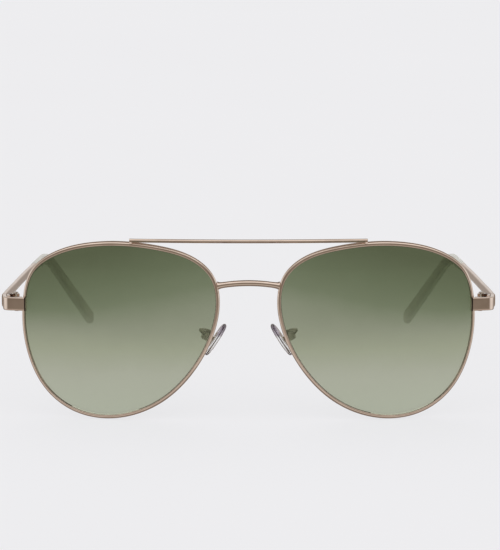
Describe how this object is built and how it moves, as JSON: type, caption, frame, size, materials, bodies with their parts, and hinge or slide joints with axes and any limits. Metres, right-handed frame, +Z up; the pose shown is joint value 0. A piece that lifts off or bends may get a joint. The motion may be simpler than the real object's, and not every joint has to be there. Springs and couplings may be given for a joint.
{
  "type": "aviator sunglasses",
  "caption": "Folding wire-rim aviator sunglasses with teardrop tinted lenses, a brow bar, rocking nose pads and hinged temples with clear sleeves.",
  "frame": {"origin": "middle of the object's box, on the surface it stands on, temples open", "axes": "+X towards the wearer's left, +Y from the lenses back along the temples, +Z up from the surface"},
  "size_m": [0.146, 0.1432, 0.0554],
  "materials": {
    "rose_metal": "polished pale rose plating",
    "tinted_lens": "green tint that fades towards the bottom",
    "clear_plastic": "clear, polished",
    "screw_steel": "bright turned steel"
  },
  "bodies": {
    "front": {"bridge": "rose_metal", "brow_bar": "rose_metal", "rim_left": "rose_metal", "lens_left": "tinted_lens", "endpiece_left": "rose_metal", "closing_block_upper_left": "rose_metal", "closing_block_lower_left": "rose_metal", "rim_screw_left": "screw_steel", "front_hinge_left": "rose_metal", "hinge_screw_left": "screw_steel", "pad_arm_left": "rose_metal", "pad_box_left": "rose_metal", "pad_screw_left": "screw_steel", "rim_right": "rose_metal", "lens_right": "tinted_lens", "endpiece_right": "rose_metal", "closing_block_upper_right": "rose_metal", "closing_block_lower_right": "rose_metal", "rim_screw_right": "screw_steel", "front_hinge_right": "rose_metal", "hinge_screw_right": "screw_steel", "pad_arm_right": "rose_metal", "pad_box_right": "rose_metal", "pad_screw_right": "screw_steel"},
    "left_temple": {"temple_left": "rose_metal", "temple_tip_left": "clear_plastic", "temple_hinge_left": "rose_metal"},
    "right_temple": {"temple_right": "rose_metal", "temple_tip_right": "clear_plastic", "temple_hinge_right": "rose_metal"},
    "left_pad": {"nose_pad_left": "clear_plastic", "pad_core_left": "screw_steel"},
    "right_pad": {"nose_pad_right": "clear_plastic", "pad_core_right": "screw_steel"}
  },
  "joints": [
    {"name": "left_temple_fold", "type": "hinge", "parent": "front", "child": "left_temple", "pos_m": [0.06901, -0.05691, 0.03459], "axis": [0, 0.0469, 0.9989], "range_deg": [0, 83]},
    {"name": "right_temple_fold", "type": "hinge", "parent": "front", "child": "right_temple", "pos_m": [-0.06901, -0.05691, 0.03459], "axis": [0, -0.0469, -0.9989], "range_deg": [0, 75]},
    {"name": "left_pad_rock", "type": "hinge", "parent": "front", "child": "left_pad", "pos_m": [0.01203, -0.05975, 0.02453], "axis": [0.1736, 0.9837, -0.0462], "range_deg": [-12, 12]},
    {"name": "right_pad_rock", "type": "hinge", "parent": "front", "child": "right_pad", "pos_m": [-0.01203, -0.05975, 0.02453], "axis": [-0.1736, 0.9837, -0.0462], "range_deg": [-12, 12]}
  ]
}
